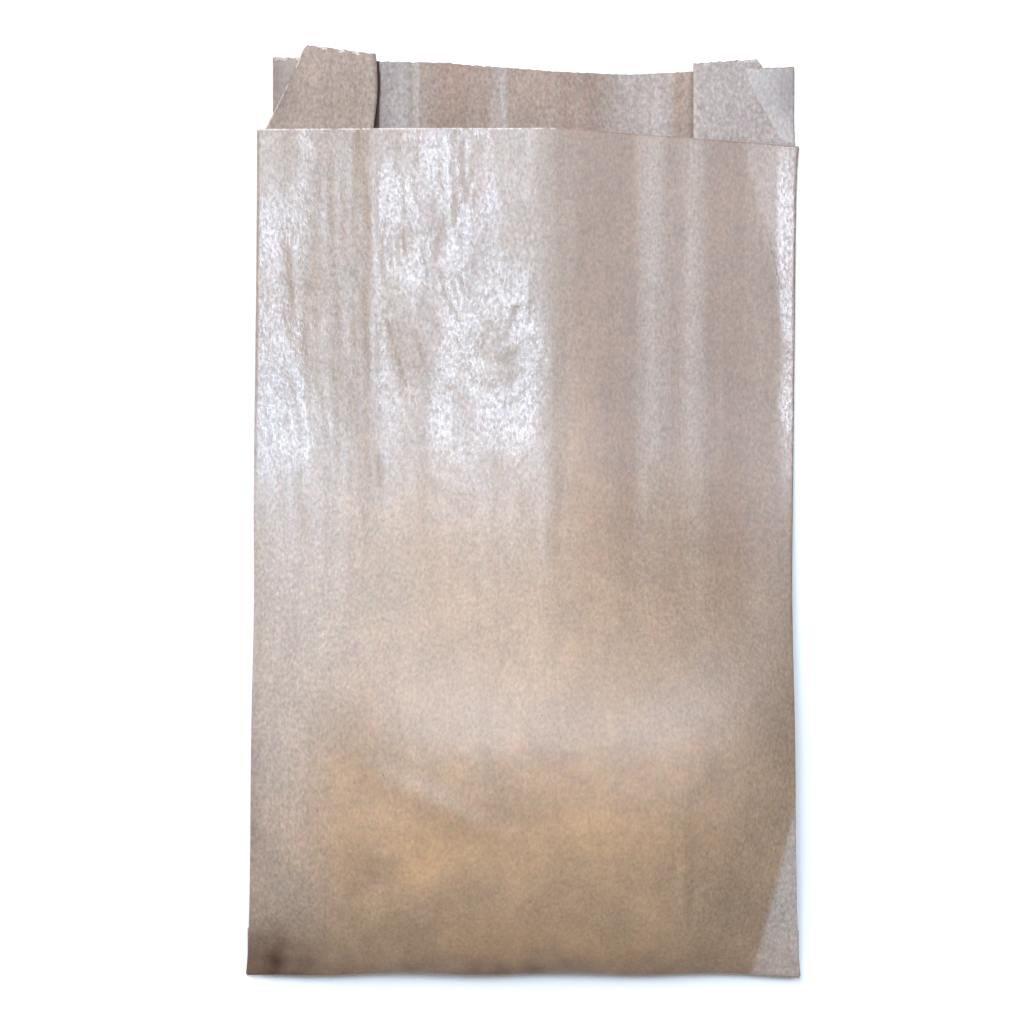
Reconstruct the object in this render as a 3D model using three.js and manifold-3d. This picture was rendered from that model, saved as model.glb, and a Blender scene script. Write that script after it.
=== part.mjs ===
// A side-gusseted kraft paper bag with a croissant in its lower half, lying on its back, mouth pressed flat.
// Millimetres: +X to the right of the shown front, +Y to the mouth, +Z up out of the front.
// The origin is the middle of the bounding box's underside.

import * as THREE from "three";
import { mergeVertices } from "three/addons/utils/BufferGeometryUtils.js";
import Module from "manifold-3d";

const { lerp, smoothstep } = THREE.MathUtils;
const wasm = await Module();
wasm.setup();

// ---- The front panel's outline ----
const HEM_Y = -126.75; // the folded bottom edge, at its middle
const HEM_CORNER_DROP = 0.8; // how much further the corners of the hem reach
const HEM_CORNER_POWER = 4; // a higher one keeps that drop closer to the corners
const FRONT_CUT_Y = 104.5; // the cut edge at the mouth, over the left half
const FRONT_CUT_SLANT = 4.7; // how much lower that edge is at the right fold
const HALF_WIDTH = 73.7; // from the middle line to a side fold
const HEM_FLARE = 2.3; // how much wider each side is at the hem
const HEM_FLARE_REACH = 18;
const WAIST_Y = -28; // where the filled bag draws its folds in most
const WAIST_PULL = 0.7;
const WAIST_REACH = 26;
const MOUTH_SHIFT = 1.3; // how far the mouth leans to the right
const LEAN_START_Y = 20;

// ---- What the contents push up ----
const CREST_Y = -70;
const CREST_Z = 27.5;
const FOLD_CREST_Z = 14.5; // the front side folds, beside the crest
const MOUTH_MIDDLE_Z = 3.0;
const MOUTH_FOLD_Z = 2.4;
const SWELL_END_Y = 24; // towards the mouth the front is flat from here
const HEM_ROUNDING = 2.1; // how full the front is just above the hem
const DOME_FULLNESS = 2.6; // across the bag, 2 is a parabola
const LUMPS = [
  // soft lobes of the croissant, felt through the paper
  { x: -34, y: -88, lift: 1.4, reach: 17 },
  { x: 4, y: -58, lift: 1.2, reach: 20 },
  { x: 36, y: -84, lift: 1.2, reach: 18 },
];

// ---- The hem ----
const HEM_THICKNESS = 2.4;
const HEM_MIDDLE_Z = 7.0;
const HEM_CORNER_Z = 3.4;
const HEM_LIFT_REACH = 30; // the back leaves the table this far from the hem
const HEM_WAVE = 0.25;
const HEM_WAVES = 3.5; // half waves from the middle to a corner

// ---- The gussets ----
const GUSSET_PLY = 31; // from an outer fold to the inner fold, along the paper
const FOLD_THICKNESS = 0.8;
const GROOVE_LEAST = 1.5; // what is left of the groove where the folds lie flat
const GROOVE_SHUT_H = 3.5; // a side as high as this is pressed shut
const GROOVE_OPEN_H = 8.0;
const LEFT_INNER_FOLD_U = -0.56; // in half widths from the middle line
const RIGHT_INNER_FOLD_U = 0.62;
const SOFT_CREASE_U = 0.11; // the lengthwise crease of the front panel
const RIDGES = [
  // what stands up under the front panel near the mouth
  { u: LEFT_INNER_FOLD_U, lift: 1.5, reach: 0.12 },
  { u: SOFT_CREASE_U, lift: 1.6, reach: 0.32 },
  { u: RIGHT_INNER_FOLD_U, lift: 0.5, reach: 0.1 },
];
const RIDGE_ROUNDING = 0.015;
const RIDGE_FADE_POWER = 8; // they fade out at the side folds
const RIDGES_START_Y = -60;
const RIDGES_FULL_Y = 50;

// ---- The mouth: back lip and gusset tabs stand past the front panel ----
const PLATE_START_Y = 92; // inside the body
const LIP_BOTTOM_Z = 0.25;
const LIP_THICKNESS = 0.8;
const LIP_CURL = 0.9; // its free edge stands this much higher
const LIP_CURL_REACH = 20;
const BACK_INSET = { left: 2.4, right: 0.8 }; // the back folds lie inside the front's here
const BACK_INSET_START_Y = 82;
const TAB_STEP = 0.5; // the tabs lie this much under the front panel
const TAB_SINK = 0.35; // and reach this far into the lip
const TAB_LIFT = 1.0; // the left tab's inner fold springs up this much
const TAB_LIFT_BEFORE = 4; // beginning this far inside the front's cut edge
const TAB_LIFT_PAST = 12; // and done this far past it
const TAB_FLAT_SHARE = 0.3; // from its slanting cut inwards a tab stays flat over this share
const TAB_START_Y = 94; // inside the body too
const TOOTH_PITCH = 2.75; // the serrated knife
const TAB_TOOTH = 0.55;
const LIP_TOOTH = 0.3;

// ---- How fine the faces are ----
const COLUMNS = 30;
const ROWS = 52;
const ROW_CROWDING = 1.35; // rows lie closer together towards the hem
const CREASE_CLEARANCE = 0.6; // of a column, kept clear beside a crease
const GROOVE_UNIT = 0.3; // the groove's depth in the unit section
const GROOVE_LEVEL = 0.7; // and its height there
const LIP_TOP_STEPS = 104;

const bump = (d, reach) => Math.exp(-(d * d) / (reach * reach));

// The middle line leans to the right towards the mouth.
function middleX(y) {
  return MOUTH_SHIFT * smoothstep(y, LEAN_START_Y, FRONT_CUT_Y);
}

// From the middle line to the front side fold.
function halfWidth(y) {
  const flare = HEM_FLARE * Math.exp(-(y - HEM_Y) / HEM_FLARE_REACH);
  return HALF_WIDTH + flare - WAIST_PULL * bump(y - WAIST_Y, WAIST_REACH);
}

// From the middle line to the back side fold.
function backHalfWidth(y, side) {
  const inset = side < 0 ? BACK_INSET.left : BACK_INSET.right;
  return halfWidth(y) - inset * smoothstep(y, BACK_INSET_START_Y, FRONT_CUT_Y);
}

// The hem dips at its corners and waves a little; u runs from -1 to 1 across the bag.
function hemY(u) {
  return HEM_Y - HEM_CORNER_DROP * u ** HEM_CORNER_POWER + HEM_WAVE * Math.sin(HEM_WAVES * Math.PI * u);
}

// The front panel's cut edge.
function frontCutY(u) {
  const past = Math.max(0, (u - SOFT_CREASE_U) / (1 - SOFT_CREASE_U));
  return FRONT_CUT_Y - FRONT_CUT_SLANT * past;
}

// A height that is given at the hem, at the crest and near the mouth.
function lengthwise(y, atHem, atCrest, atMouth) {
  if (y < CREST_Y) {
    const toHem = Math.min(1, (CREST_Y - y) / (CREST_Y - HEM_Y));
    return lerp(atCrest, atHem, toHem ** HEM_ROUNDING);
  }
  const toMouth = Math.min(1, (y - CREST_Y) / (SWELL_END_Y - CREST_Y));
  return lerp(atMouth, atCrest, 0.5 * (1 + Math.cos(Math.PI * toMouth)));
}

function hemZ(u) {
  return lerp(HEM_MIDDLE_Z, HEM_CORNER_Z, u * u);
}

function frontFoldZ(y) {
  return lengthwise(y, HEM_CORNER_Z + HEM_THICKNESS / 2, FOLD_CREST_Z, MOUTH_FOLD_Z);
}

// What the gussets' inner folds and the soft crease lift near the mouth.
function ridgeLift(u) {
  let lift = 0;
  for (const ridge of RIDGES) {
    const away = Math.hypot(u - ridge.u, RIDGE_ROUNDING) - RIDGE_ROUNDING;
    lift += ridge.lift * Math.exp(-away / ridge.reach);
  }
  return lift * (1 - u ** RIDGE_FADE_POWER);
}

// The front panel's outer face.
function frontZ(u, y) {
  const fold = frontFoldZ(y);
  const middle = lengthwise(y, hemZ(0) + HEM_THICKNESS / 2, CREST_Z, MOUTH_MIDDLE_Z);
  let z = fold + (middle - fold) * (1 - Math.abs(u) ** DOME_FULLNESS);
  z += ridgeLift(u) * smoothstep(y, RIDGES_START_Y, RIDGES_FULL_Y);
  const x = middleX(y) + u * halfWidth(y);
  for (const lump of LUMPS) z += lump.lift * bump(Math.hypot(x - lump.x, y - lump.y), lump.reach);
  return z;
}

// The back panel's outer face: on the table, and off it close to the hem.
function backZ(u, y) {
  const off = Math.max(0, 1 - (y - hemY(u)) / HEM_LIFT_REACH);
  return (hemZ(u) - HEM_THICKNESS / 2) * off * off;
}

// Across the bag, with a column on each crease.
function columns(count) {
  const creases = RIDGES.map((ridge) => ridge.u);
  const spread = Array.from({ length: count + 1 }, (_, i) => lerp(-1, 1, i / count));
  const clear = spread.filter((u) => creases.every((c) => Math.abs(u - c) > CREASE_CLEARANCE / count));
  return [...clear, ...creases].sort((a, b) => a - b);
}

// The bag's section on a unit scale: front at v = 1, back at v = -1, and a groove between the folds
// of each side.
function unitSection() {
  const across = columns(COLUMNS);
  const groove = [[0, -1], [0.5, -0.5], [1, 0], [0.5, 0.5], [0, 1]];
  const grooveAt = (side) =>
    groove.map(([depth, level]) =>
      new THREE.Vector2(side * (1 - GROOVE_UNIT * depth), GROOVE_LEVEL * level));
  return new THREE.Shape([
    ...across.map((u) => new THREE.Vector2(u, -1)),
    ...grooveAt(1),
    ...across.toReversed().map((u) => new THREE.Vector2(u, 1)),
    ...grooveAt(-1).toReversed(),
  ]);
}

// Moves a point of the unit section, t from the hem to the mouth, to its place on the bag.
function placeOnBag(u, v, t, out) {
  const level = v / GROOVE_LEVEL;
  const outside = Math.abs(v) === 1;
  const side = Math.sign(u) || 1;
  const uOut = outside ? u : side;
  const y = lerp(hemY(uOut), frontCutY(uOut), t);
  if (outside) {
    const half = v > 0 ? halfWidth(y) : backHalfWidth(y, side);
    const z = v > 0 ? frontZ(u, y) : backZ(u, y);
    return out.set(middleX(y) + u * half, y, z);
  }
  const front = frontZ(side, y);
  const back = backZ(side, y);
  const height = front - back;
  const wall = Math.min(FOLD_THICKNESS, height / 3);
  const open = smoothstep(height, GROOVE_SHUT_H, GROOVE_OPEN_H);
  const full = Math.sqrt(GUSSET_PLY ** 2 - (height / 2) ** 2);
  const depth = (lerp(GROOVE_LEAST, full, open) * (1 - Math.abs(u))) / GROOVE_UNIT;
  const toFront = (level + 1) / 2;
  const half = lerp(backHalfWidth(y, side), halfWidth(y), toFront);
  return out.set(middleX(y) + side * (half - depth), y, lerp(back + wall, front - wall, toFront));
}

// Moves every vertex of a geometry by a rule that reads and sets a vector.
function reshape(geometry, rule) {
  const position = geometry.getAttribute("position");
  const point = new THREE.Vector3();
  for (let i = 0; i < position.count; i++) {
    rule(point.fromBufferAttribute(position, i));
    position.setXYZ(i, point.x, point.y, point.z);
  }
  return geometry;
}

function bodyGeometry() {
  const unit = new THREE.ExtrudeGeometry(unitSection(), { depth: 1, steps: ROWS, bevelEnabled: false });
  return reshape(unit, (p) => placeOnBag(p.x, p.y, (1 - p.z) ** ROW_CROWDING, p));
}

// A plate of the given outline whose underside and top are given as heights over x and y.
function plateGeometry(outline, bottomZ, topZ) {
  const flat = new THREE.ExtrudeGeometry(new THREE.Shape(outline), { depth: 1, bevelEnabled: false });
  return reshape(flat, (p) => p.setZ(lerp(bottomZ(p.x, p.y), topZ(p.x, p.y), p.z)));
}

const lipCurl = (y) => LIP_CURL * smoothstep(y, FRONT_CUT_Y, FRONT_CUT_Y + LIP_CURL_REACH);
const lipBottomZ = (x, y) => LIP_BOTTOM_Z + lipCurl(y);
const lipTopZ = (x, y) => lipBottomZ(x, y) + LIP_THICKNESS;

// Teeth of the knife along a path that is given as a function from 0 to 1.
function serrated(path, steps, depth) {
  return Array.from({ length: steps + 1 }, (_, i) => {
    const p = path(i / steps);
    return new THREE.Vector2(p.x, p.y - (i % 2 ? depth : 0));
  });
}

const points = (...pairs) => pairs.map(([x, y]) => new THREE.Vector2(x, y));

// The back panel past the front's cut edge: level at the left, sagging to the right of the middle.
function lipGeometry() {
  const top = new THREE.SplineCurve(points([-68.8, 124.3], [-38, 123.2], [-16, 122.4], [8, 120.8],
    [24, 119.9], [46, 120.2], [74.5, 121.9]));
  const outline = [
    ...points([66, PLATE_START_Y], [73.6, 97], [75.3, 100.5], [74.5, 105]),
    ...serrated((t) => top.getPoint(1 - t), LIP_TOP_STEPS, LIP_TOOTH),
    ...points([-68.8, 114.5], [-69.5, 109], [-71.0, 104], [-71.3, 99], [-64, PLATE_START_Y]),
  ];
  return plateGeometry(outline, lipBottomZ, lipTopZ);
}

// A gusset's front ply past the cut edge, from its inner fold out to its slanting cut.
function tabGeometry(innerFold, topFrom, topTo, slant, lift) {
  const teeth = 2 * Math.round(topFrom.distanceTo(topTo) / TOOTH_PITCH);
  const outline = [
    ...innerFold,
    ...serrated((t) => topFrom.clone().lerp(topTo, t), teeth, TAB_TOOTH),
    ...slant,
  ];
  const inner = innerFold[0].x;
  const outer = slant[slant.length - 1].x;
  const topZ = (x, y) => {
    const spring = lift * smoothstep(y - FRONT_CUT_Y, -TAB_LIFT_BEFORE, TAB_LIFT_PAST);
    const towardsInner = smoothstep((x - outer) / (inner - outer), TAB_FLAT_SHARE, 1);
    return frontZ((x - MOUTH_SHIFT) / HALF_WIDTH, FRONT_CUT_Y) - TAB_STEP + spring * towardsInner;
  };
  return plateGeometry(outline, (x, y) => lipTopZ(x, y) - TAB_SINK, topZ);
}

function leftTabGeometry() {
  const innerFold = points([-40.7, TAB_START_Y], [-40.6, 106], [-39.9, 117]);
  const slant = points([-60.6, 125.8], [-61.6, 124.2], [-71.2, 104.2], [-66, TAB_START_Y]);
  const [topFrom, topTo] = points([-40.9, 125.3], [-58.6, 127.8]);
  return tabGeometry(innerFold, topFrom, topTo, slant, TAB_LIFT);
}

function rightTabGeometry() {
  const innerFold = points([47.1, TAB_START_Y], [47.1, 106], [47.3, 117]);
  const slant = points([65.8, 122], [69.5, 115.4], [72.2, 110], [74.2, 104.4], [75.2, 101],
    [68, TAB_START_Y]);
  const [topFrom, topTo] = points([48.2, 122.8], [64.9, 124.1]);
  return tabGeometry(innerFold, topFrom, topTo, slant, 0);
}

// A closed geometry as a solid that can be joined.
function solidOf(geometry) {
  geometry.deleteAttribute("normal");
  geometry.deleteAttribute("uv");
  const merged = mergeVertices(geometry, 1e-4);
  return new wasm.Manifold(new wasm.Mesh({
    numProp: 3,
    vertProperties: merged.getAttribute("position").array,
    triVerts: new Uint32Array(merged.index.array),
  }));
}

function geometryOf(solid) {
  const mesh = solid.getMesh();
  const geometry = new THREE.BufferGeometry();
  geometry.setAttribute("position", new THREE.BufferAttribute(mesh.vertProperties, mesh.numProp));
  geometry.setIndex(new THREE.BufferAttribute(mesh.triVerts, 1));
  geometry.computeVertexNormals();
  return geometry;
}

const kraft = new THREE.MeshStandardMaterial({ color: "#b6a493", roughness: 0.45, metalness: 0 });
const bag = [lipGeometry(), leftTabGeometry(), rightTabGeometry()]
  .reduce((whole, geometry) => whole.add(solidOf(geometry)), solidOf(bodyGeometry()));
const paperBag = new THREE.Mesh(geometryOf(bag), kraft);
paperBag.name = "paper_bag";

const model = new THREE.Group();
model.add(paperBag);

export default model;
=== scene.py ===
"""A brown kraft croissant bag lying on its back, its mouth pressed flat, seen from straight above.

The bag is folded from sheets of paper the way the real one is: a front panel whose foot is turned under
and glued to the back, a gusset on each side, and a back panel, whose lap seam is not built. Lengths inside
the classes are millimetres in the part's own frame: +X to the right, +Y to the mouth, +Z up out of the shown
front.
"""

from __future__ import annotations

import logging
from collections.abc import Callable, Sequence
from dataclasses import dataclass
from enum import Enum, IntEnum
from math import atan, atan2, ceil, cos, exp, hypot, pi, radians, sin, sqrt, tan
from typing import TypeVar

import bmesh
import bpy
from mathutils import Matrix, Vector, noise

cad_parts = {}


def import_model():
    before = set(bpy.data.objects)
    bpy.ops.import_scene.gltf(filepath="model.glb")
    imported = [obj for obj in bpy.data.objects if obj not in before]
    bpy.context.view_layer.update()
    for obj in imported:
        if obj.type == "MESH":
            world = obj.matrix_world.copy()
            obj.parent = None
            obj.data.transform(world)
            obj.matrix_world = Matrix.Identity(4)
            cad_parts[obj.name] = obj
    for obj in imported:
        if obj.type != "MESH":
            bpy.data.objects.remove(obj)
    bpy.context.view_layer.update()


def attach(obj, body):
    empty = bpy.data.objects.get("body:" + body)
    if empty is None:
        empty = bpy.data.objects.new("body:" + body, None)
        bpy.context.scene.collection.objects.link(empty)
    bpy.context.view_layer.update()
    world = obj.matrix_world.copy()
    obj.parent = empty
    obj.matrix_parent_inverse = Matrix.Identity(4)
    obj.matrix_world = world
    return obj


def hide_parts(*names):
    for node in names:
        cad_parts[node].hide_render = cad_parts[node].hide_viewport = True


LOG = logging.getLogger("croissant_bag")
MM = 0.001
NODE = "paper_bag"

Pair = tuple[float, float]
Triple = tuple[float, float, float]
Place = Callable[[float, float], Triple]
BMesh = bmesh.types.BMesh
Material = bpy.types.Material
Object = bpy.types.Object
Socket = bpy.types.NodeSocket
Kind = TypeVar("Kind")


# ---- Small sums ----


def lerp(low: float, high: float, share: float) -> float:
    """Returns the value share of the way from low to high."""
    return low + (high - low) * share


def ease(value: float, low: float, high: float) -> float:
    """Returns 0 below low, 1 above high, and an easy passage between."""
    share = min(1.0, max(0.0, (value - low) / (high - low)))
    return share * share * (3 - 2 * share)


def window(value: float, low: float, high: float, fade: float) -> float:
    """Returns 1 between low and high and 0 outside, fading over a stretch to each side of both."""
    return ease(value, low - fade, low + fade) * (1 - ease(value, high - fade, high + fade))


def clamp(value: float) -> float:
    """Returns the value, kept from -1 to 1."""
    return max(-1.0, min(1.0, value))


def rough(x: float, y: float, seed: float) -> float:
    """Returns smooth noise from about -1 to 1, the same each time for a place and seed."""
    return noise.noise(Vector((x, y, seed)))


def fold_arc(radius: float, slope: float, angle: float) -> Pair:
    """Returns how far out and down a round fold has gone, turned by an angle from a slope."""
    out = radius * (sin(angle) * cos(slope) - (1 - cos(angle)) * sin(slope))
    return out, radius * (sin(angle) * sin(slope) + (1 - cos(angle)) * cos(slope))


def each(kind: Callable[..., Kind], *rows: Sequence) -> tuple[Kind, ...]:
    """Returns one of a kind for every row of its values."""
    return tuple(kind(*row) for row in rows)


def bump(distance: float, reach: float) -> float:
    """Returns a bell that is 1 at no distance and has died away after two reaches."""
    return exp(-((distance / reach) ** 2))


def spaced(start: float, stop: float, pitch: float) -> list[float]:
    """Returns evenly spaced values from start to stop, both among them, at most pitch apart."""
    steps = max(1, ceil(abs(stop - start) / pitch))
    return [lerp(start, stop, i / steps) for i in range(steps + 1)]


# ---- The filled bag's form ----


@dataclass(frozen=True)
class Bend:
    """A lengthwise fold or soft bend of the front panel near the mouth."""

    x: float
    turn: float  # degrees that the sheet turns upwards here, going to the right
    rounding: float

    def lift(self, x: float) -> float:
        """Returns the height that the bend adds at x."""
        past = x - self.x
        return tan(radians(self.turn)) * 0.5 * (past + hypot(past, self.rounding))


@dataclass(frozen=True)
class Spot:
    """A soft oval patch: a lobe of the croissant, where its fat shows through, or painted shade."""

    x: float
    y: float
    amount: float
    reach_x: float
    reach_y: float

    def at(self, x: float, y: float) -> float:
        """Returns what the patch amounts to in one place."""
        return self.amount * bump(hypot((x - self.x) / self.reach_x, (y - self.y) / self.reach_y), 1.0)


@dataclass(frozen=True)
class Zone:
    """A lengthwise band with soft sides and ends: glossier; warmer; cooler and lighter with a negative
    amount, mostly painted grey sheen; or a painted shadow.
    """

    left: float
    right: float
    amount: float
    blur: float
    low: float = -1000.0
    high: float = 1000.0
    fade: float = 20.0

    def at(self, x: float, y: float) -> float:
        """Returns what the band amounts to in one place."""
        ends = window(y, self.low, self.high, self.fade)
        return ends * (self.amount * window(x, self.left, self.right, self.blur))


@dataclass(frozen=True)
class Facet:
    """A flat stretch of the front panel on the right of a slanting fold line."""

    upper: Pair
    lower: Pair
    turn: float  # degrees that the sheet turns upwards at the line, going to the right
    tone: float  # how much cooler and lighter it is painted: painted grey reflection
    polish: float
    fade: float = 8.0

    def past(self, x: float, y: float) -> float:
        """Returns how far a place lies to the right of the line."""
        slant = (self.upper[0] - self.lower[0]) / (self.upper[1] - self.lower[1])
        return x - self.lower[0] - slant * (y - self.lower[1])

    def ends(self, y: float) -> float:
        """Returns 1 along the line and 0 beyond its ends."""
        return window(y, self.lower[1], self.upper[1], self.fade)

    def share(self, x: float, y: float) -> float:
        """Returns how fully a place lies on the facet, from 0 to 1."""
        return self.ends(y) * ease(self.past(x, y), -1.0, 1.5)

    def lift(self, x: float, y: float) -> float:
        """Returns the height that the facet adds."""
        return tan(radians(self.turn)) * max(0.0, self.past(x, y)) * self.ends(y)


@dataclass(frozen=True)
class Crease:
    """A short crease of the front panel, standing up or, with a negative lift, sunk in."""

    start: Pair
    end: Pair
    lift: float
    reach: float
    bow: float = 0.0  # how far its middle lies to the left of the straight line
    sharp: bool = False

    def frame(self, x: float, y: float) -> Pair:
        """Returns how far along the crease a place is, 0 to 1, and how far to the left of it."""
        dx, dy = self.end[0] - self.start[0], self.end[1] - self.start[1]
        length = hypot(dx, dy)
        px, py = x - self.start[0], y - self.start[1]
        along = (px * dx + py * dy) / length**2
        return along, (px * -dy + py * dx) / length - self.bow * 4 * along * (1 - along)

    def height(self, x: float, y: float) -> float:
        """Returns what the crease adds to the panel's height."""
        along, across = self.frame(x, y)
        if not 0 < along < 1:
            return 0.0
        profile = exp(-abs(across) / self.reach) if self.sharp else bump(across, self.reach)
        return self.lift * sin(pi * along) * profile


@dataclass(frozen=True)
class Wedge:
    """A facet of the front panel that widens from its tip to the cut edge and falls to the right."""

    tip: Pair
    left: Pair
    right: Pair
    fall: float  # degrees

    def height(self, x: float, y: float) -> float:
        """Returns what the facet adds to the panel's height."""
        grown = max(0.0, (y - self.tip[1]) / (self.left[1] - self.tip[1]))
        left, right = lerp(self.tip[0], self.left[0], grown), lerp(self.tip[0], self.right[0], grown)
        half = max(0.5 * (right - left), 0.5)
        across = (x - 0.5 * (left + right)) / half
        swing = across * exp(0.5 - 0.5 * across**2) * min(1.0, grown * 4)
        return -tan(radians(self.fall)) * half * swing


@dataclass(frozen=True)
class BagForm:
    """The bag's outline and heights. u runs from -1 at the left side fold to 1 at the right one."""

    hem_y: float = -126.75
    hem_corner_drop: float = 0.8
    front_cut_y: float = 104.5
    front_cut_slant: float = 4.7
    half: float = 74.1
    hem_flare: float = 1.9
    hem_flare_reach: float = 18.0
    waist_y: float = -28.0
    waist_pull: float = 0.5
    waist_reach: float = 26.0
    mouth_shift: float = 1.0
    mouth_flare: float = 0.9  # at the right end of the cut edge
    mouth_flare_reach: float = 8.0
    back_inset: Pair = (4.4, 0.6)  # the back's side folds lie this far inside, left and right
    back_inset_start_y: Pair = (84.0, 92.0)
    back_inset_full_y: float = 109.0

    crest_y: float = -70.0
    crest_z: float = 27.5
    fold_crest_z: float = 14.5
    mouth_middle_z: float = 3.0
    mouth_fold_z: float = 2.6
    swell_end_y: float = 46.0
    swell_hollow: float = 1.5  # over 1 makes the foot of the slope hollow
    hem_rounding: float = 2.5
    dome_fullness: float = 2.6
    lobes: tuple[Spot, ...] = (
        Spot(-50, -98, 1.5, 20, 18),
        Spot(4, -60, 0.3, 20, 20),
        Spot(36, -88, 0.3, 18, 18),
    )

    hem_thickness: float = 1.4
    hem_middle_z: float = 7.0
    hem_corner_z: float = 3.4
    hem_lift_reach: float = 30.0
    hem_wave: float = 0.25
    hem_waves: float = 3.5

    gusset_ply: float = 31.0
    lip_curl: float = 0.9
    soft_crease_u: float = 0.11
    bends: tuple[Bend, ...] = (
        Bend(-63, 4.2, 6),
        Bend(-46.5, 2.6, 1.5),
        Bend(-41.2, -12.8, 0.6),  # over the left gusset's inner fold
        Bend(-38.6, 8, 1.2),
        Bend(9, -5, 2.2),  # the soft crease
        Bend(46, 2.2, 3),  # over the right gusset's inner fold
        Bend(66, -1.6, 3),
        Bend(70.5, -4, 1.5),
    )
    facets: tuple[Facet, ...] = (
        Facet((54.3, 125), (71, 52), -3.5, 0.15, 0.3),
        Facet((75.5, -74), (58.8, -142), 3, 0.85, 0.1),
    )
    bends_start_y: float = -60.0
    bends_full_y: float = 40.0

    def middle_x(self, y: float) -> float:
        """Returns the middle line's x; it leans to the right towards the mouth."""
        return self.mouth_shift * ease(y, -20, self.front_cut_y)

    def front_x(self, u: float, y: float) -> float:
        """Returns the x of the front panel at u half widths from the middle line."""
        hem = self.hem_flare * exp(-(y - self.hem_y) / self.hem_flare_reach)
        waist = self.waist_pull * bump(y - self.waist_y, self.waist_reach)
        past = min(0.0, y - self.cut_edge_y(1))
        flare = self.mouth_flare * max(0.0, u) ** 8 * exp(past / self.mouth_flare_reach)
        return self.middle_x(y) + u * (self.half + hem - waist - PAPER.fold_radius) + flare

    def back_x(self, u: float, y: float) -> float:
        """Returns the x of the back panel at u half widths from the middle line."""
        side = 1 if u > 0 else 0
        inset = self.back_inset[side] * ease(y, self.back_inset_start_y[side], self.back_inset_full_y)
        return self.front_x(u, min(y, 84.0)) - u * inset

    def hem_edge_y(self, u: float) -> float:
        """Returns the hem's y, which dips at its corners and waves a little."""
        wave = self.hem_wave * sin(self.hem_waves * pi * u)
        return self.hem_y - self.hem_corner_drop * u**4 + wave

    def cut_edge_y(self, u: float) -> float:
        """Returns the y of the front panel's cut edge at the mouth."""
        past = max(0.0, (u - self.soft_crease_u) / (1 - self.soft_crease_u))
        return self.front_cut_y - self.front_cut_slant * past

    def lengthwise(self, y: float, at_hem: float, at_crest: float, at_mouth: float) -> float:
        """A height that is given in three places along the bag.

        Args:
            y: where along the bag.
            at_hem: the height at the hem.
            at_crest: over the middle of the contents.
            at_mouth: on the flat stretch towards the mouth.

        Returns:
            The height at y.
        """
        if y < self.crest_y:
            to_hem = min(1.0, (self.crest_y - y) / (self.crest_y - self.hem_y))
            return lerp(at_crest, at_hem, to_hem**self.hem_rounding)
        to_mouth = min(1.0, (y - self.crest_y) / (self.swell_end_y - self.crest_y))
        return lerp(at_mouth, at_crest, (0.5 * (1 + cos(pi * to_mouth))) ** self.swell_hollow)

    def hem_z(self, u: float) -> float:
        """Returns the height of the hem's middle layer."""
        return lerp(self.hem_middle_z, self.hem_corner_z, u * u)

    def front_z(self, u: float, y: float) -> float:
        """Returns the height of the front panel's outer face, before its fine creases."""
        half_hem = self.hem_thickness / 2
        fold = self.lengthwise(y, self.hem_corner_z + half_hem, self.fold_crest_z, self.mouth_fold_z)
        middle = self.lengthwise(y, self.hem_middle_z + half_hem, self.crest_z, self.mouth_middle_z)
        z = fold + (middle - fold) * (1 - abs(u) ** self.dome_fullness)
        x = self.front_x(u, y)
        z += sum(bend.lift(x) for bend in self.bends) * ease(y, self.bends_start_y, self.bends_full_y)
        z += sum(facet.lift(x, y) for facet in self.facets)
        return z + sum(lobe.at(x, y) for lobe in self.lobes)

    def back_z(self, u: float, y: float) -> float:
        """Returns the height of the back's outer face, which leaves the table close to the hem."""
        off = max(0.0, 1 - (y - self.hem_edge_y(u)) / self.hem_lift_reach)
        return PAPER.lie + (self.hem_z(u) - self.hem_thickness / 2) * off * off

    def lip_rise(self, x: float, y: float) -> float:
        """Returns how far the back stands up from lying flat, close to the mouth."""
        wave = 0.2 + 0.35 * rough(x / 7, 0.3, 8.1)
        curl = self.lip_curl * ease(y, self.front_cut_y, self.front_cut_y + 20)
        return curl + wave * ease(y, 90, 108)

    def gusset(self, y: float, side: int) -> Triple:
        """Returns the height of a side's front fold and of its back fold, and its depth where it is open."""
        front, back = self.front_z(side, min(y, self.cut_edge_y(side))), self.back_z(side, y)
        return front, back, sqrt(self.gusset_ply**2 - ((front - back) / 2) ** 2)


# ---- Paper ----


class Ply(IntEnum):
    """The faces of a sheet, in the order of its material slots."""

    OUTSIDE = 0
    INSIDE = 1
    CUT = 2


@dataclass(frozen=True)
class PaperStock:
    """The paper that every sheet is made of."""

    thickness: float = 0.12
    fold_radius: float = 0.35
    wrap: float = 2.4  # a panel runs this far on past its side fold, into the gusset
    lie: float = 0.3  # the height of the back's outer face above the table; the lap seam under it is not built
    tooth_pitch: float = 2.75


PAPER = PaperStock()


def tooth(along: float, depth: float) -> float:
    """Returns how far the serrated knife's torn cut lies back from its line, at a distance along it."""
    ragged = 0.5 + 0.5 * rough(along * 0.9, 3.7, 0) + 0.35 * rough(along * 2.6, 1.4, 0)
    return depth * (0.45 * abs(2 * ((along / PAPER.tooth_pitch) % 1) - 1) + 0.85 * ragged)


def follow(points: Sequence[Pair], x: float) -> float:
    """Returns the y, at x, of a line through points given from left to right."""
    for (x0, y0), (x1, y1) in zip(points, points[1:]):
        if x <= x1:
            break
    return lerp(y0, y1, min(1.0, max(0.0, (x - x0) / (x1 - x0))))


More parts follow.
